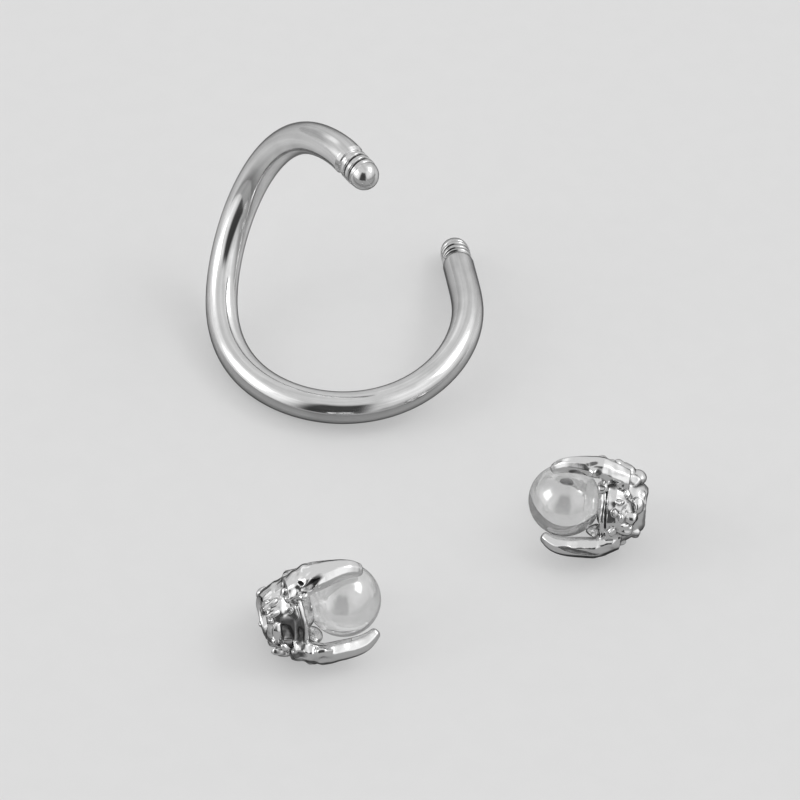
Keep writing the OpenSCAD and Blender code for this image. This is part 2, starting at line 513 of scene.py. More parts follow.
@dataclass
class TwisterPost:
    """The bent wire with a threaded tip at each end.

    Lengths are in millimetres and angles in degrees. The route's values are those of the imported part.
    """

    wire_r: float = 0.6
    bend_r: float = 4.6
    bend_sweep: float = 28.6
    bend_rolls: tuple[float, ...] = (0, 16, 10, 4, 0, -26, -28, -14, 4, 4, -10, -26)
    start_roll: float = -84.5
    upper_lead: float = 0.2
    lower_lead: float = 2.6
    neck_len: float = 0.12
    neck_start: float = 0.03
    neck_r: float = 0.49
    bevel_len: float = 0.15
    bevel_r: float = 0.54
    root_r: float = 0.47
    thread_depth: float = 0.10
    thread_pitch: float = 0.27
    crest_share: float = 0.6
    thread_run_in: float = 0.6
    nose_start: float = 0.84
    nose_root: float = 0.72
    nose_h: float = 0.56
    nose_r: float = 0.545
    bend_step: float = 0.1
    smoothing_passes: int = 110
    unsmoothed_len: float = 0.5
    easing_len: float = 1.2
    tip_step: float = 0.0125
    nose_steps: int = 22
    around: int = 96

    def stations(self) -> tuple[list[Station], float]:
        """Follows the wire from the upper shoulder to the lower one.

        Returns:
            The stations, a bend step apart, and the length of wire that they cover.
        """
        middle, outwards = mount("upper_thread")
        along = -outwards
        level = np.array([-along[1], along[0], 0.0]) / math.hypot(along[0], along[1])
        shoulder = middle - outwards * (self.neck_len + THREAD_LEN / 2)
        here = Station(shoulder, along, turned(level, along, self.start_roll))
        found = [here]
        here = here.moved(self.upper_lead)
        arc = self.bend_r * math.radians(self.bend_sweep)
        steps = round(arc / self.bend_step)
        for roll in self.bend_rolls:
            here = here.rolled(roll)
            found += [here.bent(self.bend_r, self.bend_sweep * k / steps) for k in range(steps)]
            here = here.bent(self.bend_r, self.bend_sweep)
        steps = round(self.lower_lead / self.bend_step)
        found += [here.moved(self.lower_lead * k / steps) for k in range(steps + 1)]
        return self.eased(found), self.upper_lead + arc * len(self.bend_rolls) + self.lower_lead

    def eased(self, stations: list[Station]) -> list[Station]:
        """Lets each bend pass smoothly into the next one.

        Args:
            stations: The stations with a sharp change from bend to bend.

        Returns:
            The same stations on a smooth line, with both shoulders where they were.
        """
        points = np.array([s.point for s in stations])
        count = np.arange(len(points)) * self.bend_step
        from_end = np.minimum(count, count[-1] - count)
        share = np.clip((from_end - self.unsmoothed_len) / self.easing_len, 0, 1)[1:-1, None]
        for _ in range(self.smoothing_passes):
            points[1:-1] += share * (points[:-2] + points[2:] - 2 * points[1:-1]) / 4
        return [Station(p, s.along, s.side) for p, s in zip(points, stations)]

    def past_steps(self) -> list[float]:
        """Where a tip's rings lie, out to the end of its nose.

        Returns:
            Their distances past the shoulder.
        """
        straight = list(np.arange(self.tip_step, self.nose_start, self.tip_step))
        quarter = [math.pi / 2 * k / self.nose_steps for k in range(self.nose_steps + 1)]
        return straight + [self.nose_start + self.nose_h * math.sin(a) for a in quarter]

    def outline(self, past: float) -> float:
        """Radius of the wire, neck, thread root or nose.

        Args:
            past: The distance past a shoulder.

        Returns:
            The radius there.
        """
        reach = (past - self.nose_start) / self.nose_h
        if reach > 0:
            return self.nose_r * math.sqrt(max(0.0, 1 - reach * reach))
        marks = [-self.bevel_len, 0.0, self.neck_start, self.neck_len, self.nose_root, self.nose_start]
        radii = [self.wire_r, self.bevel_r, self.neck_r, self.root_r, self.root_r, self.nose_r]
        return float(np.interp(past, marks, radii))

    def centreline(self) -> bpy.types.Mesh:
        """Builds the middle line, with each point's radius and distances as attributes.

        Returns:
            The line's mesh.
        """
        stations, length = self.stations()
        tip = self.past_steps()
        first, last = stations[0], stations[-1]
        gaps = [float(np.linalg.norm(b.point - a.point)) for a, b in zip(stations, stations[1:])]
        run = np.concatenate([[0.0], np.cumsum(gaps)])
        run *= length / run[-1]
        fine = [k * self.tip_step for k in range(1, round(2 * self.bevel_len / self.tip_step))]
        start = [p for p in fine if p < self.upper_lead]
        end = [p for p in fine if p < self.bend_step]
        points = [first.point - p * first.along for p in reversed(tip)] + [first.point]
        points += [first.point + p * first.along for p in start]
        points += [s.point for s in stations[1:-1]]
        points += [last.point - p * last.along for p in reversed(end)] + [last.point]
        points += [last.point + p * last.along for p in tip]
        along = [-p for p in reversed(tip)] + [0.0] + start + list(run[1:-1])
        along += [length - p for p in reversed(end)] + [length] + [length + p for p in tip]
        past = [max(-a, a - length) for a in along]
        mesh = bpy.data.meshes.new("post_line")
        mesh.from_pydata([tuple(p) for p in points], [(k, k + 1) for k in range(len(points) - 1)], [])
        columns = {"run": along, "past": past, "outline": [self.outline(p) for p in past]}
        for name, values in columns.items():
            mesh.attributes.new(name, "FLOAT", "POINT").data.foreach_set("value", values)
        return mesh

    def thread_tree(self) -> bpy.types.NodeTree:
        """Builds the node tree that sweeps the wire and cuts its threads.

        Returns:
            The tree.
        """
        tree = bpy.data.node_groups.new("threaded_wire", "GeometryNodeTree")
        face = tree.interface
        face.new_socket("Line", in_out="INPUT", socket_type="NodeSocketGeometry")
        for name in ("Thread pitch", "Thread depth", "Thread start", "Thread end"):
            face.new_socket(name, in_out="INPUT", socket_type="NodeSocketFloat")
        face.new_socket("Segments around", in_out="INPUT", socket_type="NodeSocketInt")
        face.new_socket("Finish", in_out="INPUT", socket_type="NodeSocketMaterial")
        face.new_socket("Wire", in_out="OUTPUT", socket_type="NodeSocketGeometry")
        wires = Wiring(tree)
        given = wires.add("NodeGroupInput").outputs
        curve = wires.add("GeometryNodeMeshToCurve", {"Mesh": given["Line"]}).outputs[0]
        place = wires.add("GeometryNodeInputPosition").outputs[0]
        curve = wires.store(curve, "centre", place, "FLOAT_VECTOR")
        circle = {"Resolution": given["Segments around"], "Radius": 1.0}
        ring = wires.add("GeometryNodeCurvePrimitiveCircle", circle).outputs[0]
        ring = wires.store(ring, "around", wires.add("GeometryNodeSplineParameter").outputs["Factor"])
        swept = wires.add("GeometryNodeCurveToMesh", {"Curve": curve, "Profile Curve": ring}).outputs[0]
        run, past, outline, around = (wires.read(name) for name in ("run", "past", "outline", "around"))
        centre = wires.read("centre", "FLOAT_VECTOR")
        turns = wires.math("DIVIDE", run, given["Thread pitch"])
        turn = wires.math("FRACT", wires.math("SUBTRACT", turns, around))
        off_crest = wires.math("ABSOLUTE", wires.math("MULTIPLY_ADD", turn, 2.0, -1.0))
        crest = wires.ramp(wires.math("SUBTRACT", 1.0, off_crest), 0.0, self.crest_share)
        ridge = wires.math("MULTIPLY", crest, given["Thread depth"])
        half = self.thread_pitch / 2
        rise = wires.math("SUBTRACT", past, given["Thread start"])
        fall = wires.math("SUBTRACT", given["Thread end"], past)
        cut = wires.math("MULTIPLY", wires.ramp(rise, 0.0, half / 2), wires.ramp(fall, 0.0, half))
        radius = wires.math("MULTIPLY_ADD", ridge, cut, outline)
        groove = wires.math("MULTIPLY", wires.math("SUBTRACT", 1.0, crest), cut)
        unit = wires.vector("NORMALIZE", {0: wires.vector("SUBTRACT", {0: place, 1: centre})})
        reach = wires.vector("SCALE", {0: unit, "Scale": radius})
        target = wires.vector("ADD", {0: centre, 1: reach})
        shaped = wires.add("GeometryNodeSetPosition", {"Geometry": swept, "Position": target}).outputs[0]
        gap = {"Geometry": shaped, "Distance": MERGE_GAP}
        closed = wires.add("GeometryNodeMergeByDistance", gap).outputs[0]
        angle = wires.math("MULTIPLY", around, 2 * math.pi)
        straight = {0: wires.math("COSINE", angle), 1: wires.math("SINE", angle), 2: run}
        unbent = wires.add("ShaderNodeCombineXYZ", straight).outputs[0]
        kept = wires.store(closed, "unbent", unbent, "FLOAT_VECTOR")
        # The groove mask that the wire's material uses for its painted shade
        grooved = wires.store(kept, "groove", groove)
        smooth = wires.add("GeometryNodeSetShadeSmooth", {"Geometry": grooved}).outputs[0]
        real = wires.add("GeometryNodeRealizeInstances", {"Geometry": smooth}).outputs[0]
        finish = {"Geometry": real, "Material": given["Finish"]}
        dressed = wires.add("GeometryNodeSetMaterial", finish).outputs[0]
        wires.add("NodeGroupOutput", {0: dressed})
        return tree

    def build(self, finish: PolishedWire) -> bpy.types.Object:
        """Builds the post.

        Args:
            finish: What the wire is finished with.

        Returns:
            The finished piece.
        """
        line = bpy.data.objects.new("post_line", self.centreline())
        bpy.context.scene.collection.objects.link(line)
        sweep = line.modifiers.new("sweep", "NODES")
        sweep.node_group = self.thread_tree()
        material = finish.material()
        values = {
            "Thread pitch": self.thread_pitch,
            "Thread depth": self.thread_depth,
            "Thread start": self.neck_len * self.thread_run_in,
            "Thread end": self.nose_start,
            "Segments around": self.around,
            "Finish": material,
        }
        for item in sweep.node_group.interface.items_tree:
            if item.in_out == "INPUT" and item.name in values:
                sweep[item.identifier] = values[item.name]
        seen = line.evaluated_get(bpy.context.evaluated_depsgraph_get())
        mesh = bpy.data.meshes.new_from_object(seen)
        bpy.data.objects.remove(line)
        mesh.transform(Matrix.Scale(MM, 4))
        for name in ("run", "past", "outline", "around", "centre"):
            if name in mesh.attributes:
                mesh.attributes.remove(mesh.attributes[name])
        return shown("twister_post_wire", mesh, "twister_post")


def smooth_least(a: np.ndarray, b: np.ndarray, blend: float) -> np.ndarray:
    """The lesser of two distances, with the edge between them filled.

    Args:
        a: The one distance.
        b: The other distance.
        blend: The width over which the edge is filled.

    Returns:
        The lesser distance.
    """
    if blend <= 0:
        return np.minimum(a, b)
    near = np.maximum(blend - np.abs(a - b), 0) / blend
    return np.minimum(a, b) - near * near * blend / 4


@dataclass
class CastField:
    """Cast metal as distances on a block of cells: negative inside, in millimetres."""

    low: tuple[float, float, float]
    high: tuple[float, float, float]
    pitch: float
    values: np.ndarray = field(init=False)
    axes: list[np.ndarray] = field(init=False)

    def __post_init__(self) -> None:
        """Lays the cells out and leaves them empty."""
        self.axes = [
            np.arange(a, b + self.pitch, self.pitch, dtype=np.float32) for a, b in zip(self.low, self.high)
        ]
        self.values = np.full([len(a) for a in self.axes], EMPTY, np.float32)

    def window(
        self, low: Sequence[float], high: Sequence[float]
    ) -> tuple[tuple[slice, ...], list[np.ndarray]]:
        """The cells in a box.

        Args:
            low: The box's lowest corner.
            high: The box's highest corner.

        Returns:
            Their slices, and their x, y and z.
        """
        cells = tuple(
            slice(int(np.searchsorted(a, start)), int(np.searchsorted(a, end)))
            for a, start, end in zip(self.axes, low, high)
        )
        places = np.meshgrid(*(a[c] for a, c in zip(self.axes, cells)), indexing="ij", sparse=True)
        return cells, places

    def add(self, shape: Distance, low: Sequence[float], high: Sequence[float], blend: float = 0.0) -> None:
        """Casts a shape on, with a fillet where it meets what is there."""
        cells, places = self.window(low, high)
        self.values[cells] = smooth_least(self.values[cells], shape(*places), blend)

    def cut(self, shape: Distance, low: Sequence[float], high: Sequence[float], blend: float = 0.0) -> None:
        """Takes a shape away, with its rim rounded."""
        cells, places = self.window(low, high)
        self.values[cells] = -smooth_least(-self.values[cells], shape(*places), blend)

    def sampled(self, points: np.ndarray, values: np.ndarray) -> np.ndarray:
        """Values between the cells.

        Args:
            points: Places in cells, a row for each.
            values: A value for each cell.

        Returns:
            The value at each place.
        """
        base = np.clip(np.floor(points).astype(int), 0, np.array(values.shape) - 2)
        part = points - base
        total = np.zeros(len(points), np.float32)
        for corner in np.ndindex(2, 2, 2):
            weight = np.prod(np.where(np.array(corner) == 1, part, 1 - part), axis=1)
            total += weight * values[tuple((base + corner).T)]
        return total

    def hollowness(self, reach: float) -> np.ndarray:
        """How much metal lies round each cell, averaged twice over a box.

        Args:
            reach: The box's half size.

        Returns:
            The share of metal for each cell.
        """
        share = (self.values < 0).astype(np.float32)
        width = max(1, round(reach / self.pitch))
        for axis in range(3):
            for _ in range(2):
                before = np.repeat(share.take([0], axis), width + 1, axis)
                after = np.repeat(share.take([-1], axis), width, axis)
                run = np.cumsum(np.concatenate([before, share, after], axis), axis, dtype=np.float64)
                count = share.shape[axis]
                ahead = run.take(range(2 * width + 1, 2 * width + 1 + count), axis)
                behind = run.take(range(0, count), axis)
                share = ((ahead - behind) / (2 * width + 1)).astype(np.float32)
        return share

    def skin(self) -> tuple[np.ndarray, np.ndarray]:
        """Finds the surface.

        Returns:
            Its points, in cells, and its four-sided faces, which look outwards.
        """
        v = self.values
        shape = np.array(v.shape)
        total = np.zeros([*(shape - 1), 3], np.float32)
        count = np.zeros(shape - 1, np.float32)
        crossed = []
        for axis in range(3):
            ahead = np.moveaxis(v, axis, 0)
            a, b = ahead[:-1], ahead[1:]
            cross = (a < 0) != (b < 0)
            with np.errstate(divide="ignore", invalid="ignore"):
                share = np.where(cross, a / (a - b), 0).astype(np.float32)
            cross = np.moveaxis(cross, 0, axis)
            share = np.moveaxis(share, 0, axis)
            crossed.append(cross)
            sides = [k for k in range(3) if k != axis]
            for one, two in np.ndindex(2, 2):
                cut = [slice(None)] * 3
                cut[sides[0]] = slice(one, shape[sides[0]] - 1 + one)
                cut[sides[1]] = slice(two, shape[sides[1]] - 1 + two)
                hit = cross[tuple(cut)]
                count += hit
                total[..., axis] += np.where(hit, share[tuple(cut)], 0)
                total[..., sides[0]] += hit * one
                total[..., sides[1]] += hit * two
        used = count > 0
        number = np.full(used.shape, -1, np.int64)
        number[used] = np.arange(int(used.sum()))
        points = total[used] / count[used][:, None] + np.argwhere(used)
        faces = []
        for axis, cross in enumerate(crossed):
            one, two = (axis + 1) % 3, (axis + 2) % 3
            spots = np.argwhere(cross)
            spots = spots[(spots[:, one] > 0) & (spots[:, two] > 0)]
            back_one, back_two = np.eye(3, dtype=int)[one], np.eye(3, dtype=int)[two]
            loop = [spots, spots - back_one, spots - back_one - back_two, spots - back_two]
            quad = np.stack([number[tuple(s.T)] for s in loop], axis=1)
            outwards = v[tuple(spots.T)] < 0
            faces.append(np.where(outwards[:, None], quad, quad[:, ::-1]))
        return points.astype(np.float32), np.concatenate(faces)

    def settled(self, points: np.ndarray) -> np.ndarray:
        """Moves the skin's points onto the surface itself, by a few short steps down the slope.

        Args:
            points: The points, in cells.

        Returns:
            The points on the surface.
        """
        slopes = np.gradient(self.values, self.pitch)
        longest = LONGEST_STEP * self.pitch
        for _ in range(SETTLING_STEPS):
            slope = np.stack([self.sampled(points, s) for s in slopes], axis=1)
            size = np.maximum((slope * slope).sum(1), LEAST_SLOPE_SQUARED)
            step = np.clip(self.sampled(points, self.values) / size, -longest, longest)
            points = points - slope * step[:, None] / self.pitch
        return points


def planed_lump(
    centre: Sequence[float], size: Sequence[float], frame_axes: np.ndarray, seed: int, corner: float
) -> Distance:
    """A rough nugget: an egg or box shape with flats planed on it.

    Args:
        centre: Its middle.
        size: Its half sizes along its own axes.
        frame_axes: Its own axes, a row for each.
        seed: Chooses the flats.
        corner: How square it is: 2 for an egg, more for a box.

    Returns:
        The nugget's distance function.
    """
    draw = np.random.default_rng(seed)
    flats = draw.normal(size=(FLATS, 3))
    flats /= np.linalg.norm(flats, axis=1)[:, None]
    heights = draw.uniform(*FLAT_HEIGHTS, FLATS)
    least = min(size)

    def distance(x: np.ndarray, y: np.ndarray, z: np.ndarray) -> np.ndarray:
        """Distance to the nugget, from its own scaled coordinates.

        Args:
            x: Where to measure it, along x.
            y: The same along y.
            z: The same along z.

        Returns:
            The distance at each place.
        """
        dx, dy, dz = x - centre[0], y - centre[1], z - centre[2]
        own = [(dx * a[0] + dy * a[1] + dz * a[2]) / s for a, s in zip(frame_axes, size)]
        found = sum(np.abs(part) ** corner for part in own) ** (1 / corner) - 1
        for flat, height in zip(flats, heights):
            level = own[0] * flat[0] + own[1] * flat[1] + own[2] * flat[2] - height
            found = -smooth_least(-found, -level, FLAT_BLEND)
        return (found * least).astype(np.float32)

    return distance


@dataclass(frozen=True)
class Lump:
    """A nugget on the casting: where it sits, and its half sizes across, out and along.

    Angle and lean are in degrees, height is above the mouth, and out is the distance of its middle from the
    axis. A corner of 2 makes it an egg, and more makes it a box.
    """

    angle: float
    height: float
    out: float
    across: float
    deep: float
    along: float
    lean: float = 0.0
    corner: float = 2.0


@dataclass(frozen=True)
class Pit(Lump):
    """A hollow in the casting, painted dark round about with tarnish and painted shade."""

    shade_and_tarnish: float = 0.6


@dataclass(frozen=True)
class Claw:
    """One claw: its angle from straight up, and how it differs from the plain one.

    Stretch, wide and thick are factors on its length, width and thickness, and off is how far out it moves.
    """

    angle: float
    stretch: float = 1.0
    off: float = 0.0
    wide: float = 1.0
    thick: float = 1.0


@dataclass
class ClawEnd:
    """A cast end: a knobbly body with a threaded hole, a collar for the ball, and three claws.

    Lengths are in millimetres. The end's own z runs from its mouth to the ball, its x points down and its y
    across. Rows of core and collar are a radius and a height above the mouth. The droop is the slope by
    which the outer form is tipped about its axis at the height called level, mouth down where it is positive.
    """

    name: str
    ball_box: tuple[Vector, Vector]
    hole_mount: str
    near_side: int
    core: Outline
    collar: Outline
    claws: tuple[Claw, ...]
    lumps: tuple[Lump, ...]
    pits: tuple[Pit, ...]
    droop: float
    seed: int
    low: tuple[float, float, float] = (-2.4, -2.25, -0.09)
    high: tuple[float, float, float] = (1.77, 2.25, 4.14)
    pitch: float = 0.03
    ball_r: float = 1.3
    ball_z: float = 2.95
    hole_r: float = 0.55
    hole_depth: float = 1.45
    thread_pitch: float = 0.25
    thread_depth: float = 0.05
    mouth_r: float = 0.70
    seat_gap: float = 0.015
    level: float = 2.0
    floor_reach: float = 1.69
    claw_base: float = 0.8
    claw_reach: float = 2.2
    claw_room: float = 0.75
    lump_blend: float = 0.035
    pit_blend: float = 0.03
    claw_blend: float = 0.10
    rim_blend: float = 0.02
    waves: int = 14
    wave_lengths: tuple[float, float] = (0.25, 0.8)
    wave_height: float = 0.0038
    smooth_from: float = 2.1
    fade_len: float = 0.5
    claw_share: float = 0.18
    # How hollow the skin must be to get the darker base colour, tarnish with painted shade
    hollow_reach: float = 0.13
    hollow_start: float = 0.52
    hollow_range: float = 0.26
    # How far round a pit its tarnish and painted shade reach, and how they fade
    darkening_reach: float = 1.25
    darkening_fade: float = 0.45

    def place(self) -> Matrix:
        """Where the end lies.

        Returns:
            The matrix from its own coordinates, in millimetres, to the shared frame, in metres.
        """
        low, high = self.ball_box
        middle = (low + high) / 2
        _, outwards = mount(self.hole_mount)
        along = -Vector(outwards)
        down = Vector((0, 0, -1))
        across = along.cross(down)
        turn = Matrix((down, across, along)).transposed().to_4x4()
        return Matrix.Translation(middle - along * self.ball_z * MM) @ turn @ Matrix.Scale(MM, 4)

    def spoke(self, angle: float) -> tuple[np.ndarray, np.ndarray]:
        """Directions out from the axis and across it.

        Args:
            angle: Degrees from straight up, towards the side that faces the viewer.

        Returns:
            The direction outwards, and the one across, towards larger angles.
        """
        a = math.radians(angle)
        out = np.array([-math.cos(a), self.near_side * math.sin(a), 0.0])
        across = np.array([math.sin(a), self.near_side * math.cos(a), 0.0])
        return out, across

    def outline(self, points: Outline) -> Distance:
        """A solid of revolution.

        Args:
            points: Radius and height along its outline, from the bottom up.

        Returns:
            Its distance function.
        """
        ring = [(0.0, points[0][1]), *points, (0.0, points[-1][1])]

        def distance(x: np.ndarray, y: np.ndarray, z: np.ndarray) -> np.ndarray:
            """Distance to the solid of revolution.

            Args:
                x: Where to measure it, along x.
                y: The same along y.
                z: The same along z.

            Returns:
                The distance at each place.
            """
            across = np.sqrt(x * x + y * y) + 0 * z
            up = z + 0 * across
            nearest = np.full(across.shape, np.inf, np.float32)
            inside = np.zeros(across.shape, bool)
            for (r0, z0), (r1, z1) in zip(ring, ring[1:]):
                dr, dz = r1 - r0, z1 - z0
                share = np.clip(((across - r0) * dr + (up - z0) * dz) / (dr * dr + dz * dz), 0, 1)
                nearest = np.minimum(nearest, np.hypot(across - r0 - share * dr, up - z0 - share * dz))
                if dz:
                    between = (up >= min(z0, z1)) & (up < max(z0, z1))
                    inside ^= between & (across < r0 + (up - z0) / dz * dr)
            return np.where(inside, -nearest, nearest).astype(np.float32)

        return distance

    def leaning(self, shape: Distance) -> Distance:
        """A shape tipped a little, so that its mouth sinks where the droop is positive."""
        return lambda x, y, z: shape(x - self.droop * (self.level - z), y, z - self.droop * x)

    def talon(self, claw: Claw) -> Distance:
        """One claw, swept along its curve with a chamfered section.

        Args:
            claw: Where the claw is and how it differs from the plain one.

        Returns:
            The claw's distance function.
        """
        rows = np.array(CLAW_ROWS)
        rows[:, 0] += claw.off
        rows[:, 1] = rows[0, 1] + (rows[:, 1] - rows[0, 1]) * claw.stretch
        rows[:, 2] *= claw.wide
        rows[1:, 3] *= claw.thick
        marks = np.linspace(0, len(rows) - 1, CLAW_STEPS * (len(rows) - 1) + 1)
        path = np.stack([smooth_rows(marks, rows[:, k]) for k in range(4)], axis=1)
        out, across = self.spoke(claw.angle)

        def distance(x: np.ndarray, y: np.ndarray, z: np.ndarray) -> np.ndarray:
            """Distance to the claw, near enough for its surface and fillets.

            Args:
                x: Where to measure it, along x.
                y: The same along y.
                z: The same along z.

            Returns:
                The distance at each place.
            """
            radial = x * out[0] + y * out[1] + 0 * z
            side = np.abs(x * across[0] + y * across[1]) + 0 * z
            up = z + 0 * radial
            best = np.full(radial.shape, np.inf, np.float32)
            section = np.zeros(radial.shape, np.float32)
            last = len(path) - 2
            for k, ((r0, z0, w0, h0), (r1, z1, w1, h1)) in enumerate(zip(path, path[1:])):
                dr, dz = r1 - r0, z1 - z0
                length = math.hypot(dr, dz)
                run = ((radial - r0) * dr + (up - z0) * dz) / length
                share = np.clip(run / length, 0, 1)
                off = np.hypot(radial - r0 - share * dr, up - z0 - share * dz)
                lift = ((radial - r0) * dz - (up - z0) * dr) / length
                wide, high = w0 + share * (w1 - w0), h0 + share * (h1 - h0)
                over = np.maximum(run - length, 0) / TIP_LEN if k == last else 0.0
                a, b = side / wide, np.abs(lift) / high
                ring = smooth_least(-a, -b, SECTION_BLEND)
                ring = -smooth_least(ring, -(a + b) / CHAMFER, CHAMFER_BLEND)
                here = (np.sqrt(ring * ring + over * over) - 1) * np.minimum(wide, high)
                closer = off < best
                best = np.where(closer, off, best)
                section = np.where(closer, here, section)
            return section.astype(np.float32)

        return distance

    def bored(self, x: np.ndarray, y: np.ndarray, z: np.ndarray) -> np.ndarray:
        """Distance to the threaded hole.

        Args:
            x: Where to measure it, along x.
            y: The same along y.
            z: The same along z.

        Returns:
            The distance at each place.
        """
        turn = (z / self.thread_pitch - np.arctan2(y, x) / (2 * math.pi)) % 1.0
        groove = self.thread_depth * (1 - np.abs(2 * turn - 1))
        side = np.sqrt(x * x + y * y) - self.hole_r - groove
        countersink = np.sqrt(x * x + y * y) - (self.mouth_r - z)
        return np.maximum(np.minimum(side, countersink), z - self.hole_depth).astype(np.float32)

    def ball_seat(self, x: np.ndarray, y: np.ndarray, z: np.ndarray) -> np.ndarray:
        """Distance to the round seat that clears the ball."""
        return np.sqrt(x * x + y * y + (z - self.ball_z) ** 2) - (self.ball_r + self.seat_gap)

    def roughness(self, x: np.ndarray, y: np.ndarray, z: np.ndarray) -> np.ndarray:
        """Height of the cast skin's waviness, strongest on the body.

        Args:
            x: Where to measure it, along x.
            y: The same along y.
            z: The same along z.

        Returns:
            The height at each place.
        """
        draw = np.random.default_rng(self.seed)
        total = 0
        for _ in range(self.waves):
            wave = draw.normal(size=3)
            wave *= 2 * math.pi / draw.uniform(*self.wave_lengths) / np.linalg.norm(wave)
            total = total + np.sin(x * wave[0] + y * wave[1] + z * wave[2] + draw.uniform(0, 2 * math.pi))
        fade = np.clip((self.smooth_from - z) / self.fade_len, self.claw_share, 1)
        return (total * self.wave_height * fade).astype(np.float32)

    def seated(self, lump: Lump) -> tuple[np.ndarray, np.ndarray]:
        """Where a nugget or hollow is.

        Args:
            lump: The nugget or hollow.

        Returns:
            Its middle, and its own axes, a row for each: across, out and along.
        """
        out, across = self.spoke(lump.angle)
        up = np.array([0.0, 0.0, 1.0])
        lean = math.radians(lump.lean)
        along = up * math.cos(lean) + across * math.sin(lean)
        sideways = across * math.cos(lean) - up * math.sin(lean)
        sunk = np.array([self.droop * (self.level - lump.height), 0.0, 0.0])
        return out * lump.out + up * lump.height + sunk, np.array([sideways, out, along])

    def nugget(self, lump: Lump, seed: int) -> tuple[Distance, np.ndarray, np.ndarray]:
        """The shape of a nugget or hollow.

        Args:
            lump: The nugget or hollow.
            seed: Chooses its flats.

        Returns:
            Its distance function, and the lowest and highest corners of the box round it.
        """
        centre, axes = self.seated(lump)
        reach = max(lump.across, lump.deep, lump.along) + 0.1
        shape = planed_lump(centre, (lump.across, lump.deep, lump.along), axes, seed, lump.corner)
        return shape, centre - reach, centre + reach

    def floor_cut(self, x: np.ndarray, y: np.ndarray, z: np.ndarray) -> np.ndarray:
        """Distance to what would reach into the floor."""
        return (self.floor_reach - x + 0 * y + 0 * z).astype(np.float32)

    def cast(self) -> CastField:
        """Casts the end, with its lumps, pits, hole and seat.

        Returns:
            The metal.
        """
        metal = CastField(self.low, self.high, self.pitch)
        block = (self.low, self.high)
        metal.add(self.leaning(self.outline(self.core)), *block)
        for number, lump in enumerate(self.lumps):
            metal.add(*self.nugget(lump, self.seed + number), self.lump_blend)
        metal.add(self.leaning(self.outline(self.collar)), *block, self.rim_blend)
        for claw in self.claws:
            out, _ = self.spoke(claw.angle)
            low = np.minimum(0, out * self.claw_reach) - self.claw_room
            high = np.maximum(0, out * self.claw_reach) + self.claw_room
            low[2], high[2] = self.claw_base, self.high[2]
            metal.add(self.leaning(self.talon(claw)), low, high, self.claw_blend)
        for number, pit in enumerate(self.pits):
            metal.cut(*self.nugget(pit, self.seed - 1 - number), self.pit_blend)
        cells, places = metal.window(*block)
        metal.values[cells] += self.roughness(*places)
        metal.cut(self.ball_seat, *block, self.rim_blend)
        metal.cut(self.bored, *HOLE_BOX, self.rim_blend)
        metal.cut(self.floor_cut, *block, self.rim_blend)
        return metal

    def shade_and_tarnish(self, points: np.ndarray) -> np.ndarray:
        """How dark the hollows are painted at each point of the skin, with tarnish and painted shade.

        Args:
            points: The points, in the end's own millimetres.

        Returns:
            The share of tarnish and painted shade, from 0 to 1.
        """
        most = np.zeros(len(points))
        for pit in self.pits:
            centre, axes = self.seated(pit)
            own = (points - centre) @ axes.T / np.array([pit.across, pit.deep, pit.along])
            reach = (np.abs(own) ** pit.corner).sum(axis=1) ** (1 / pit.corner)
            most = np.maximum(most, pit.shade_and_tarnish * np.clip((self.darkening_reach - reach) / self.darkening_fade, 0, 1))
        return most

    def build(self, finish: CastSteel) -> bpy.types.Object:
        """Builds the end.

        Args:
            finish: What the casting is finished with.

        Returns:
            The finished piece.
        """
        metal = self.cast()
        points, faces = metal.skin()
        points = metal.settled(points)
        share = metal.sampled(points, metal.hollowness(self.hollow_reach))
        points = points * self.pitch + np.array(metal.low)
        hollow = np.clip((share - self.hollow_start) / self.hollow_range, 0, 1)
        # Tarnish and painted shade: the pits darken the skin round them too
        hollow = np.maximum(hollow, self.shade_and_tarnish(points))
        mesh = smooth_mesh(self.name, points, faces.tolist(), finish.material())
        shades = mesh.attributes.new("hollow", "FLOAT", "POINT")
        shades.data.foreach_set("value", hollow.astype(np.float32))
        mesh.transform(self.place())
        mesh.update()
        return shown(self.name + "_casting", mesh, self.name)


def smooth_rows(marks: np.ndarray, column: np.ndarray) -> np.ndarray:
    """A smooth curve through a column of values.

    Args:
        marks: Where to read it, in rows.
        column: The values, one for each row.

    Returns:
        The curve's values at the marks.
    """
    slopes = np.gradient(column)
    row = np.clip(np.floor(marks).astype(int), 0, len(column) - 2)
    t = marks - row
    a, b, da, db = column[row], column[row + 1], slopes[row], slopes[row + 1]
    ends = (2 * t**3 - 3 * t**2 + 1) * a + (3 * t**2 - 2 * t**3) * b
    return ends + (t**3 - 2 * t**2 + t) * da + (t**3 - t**2) * db


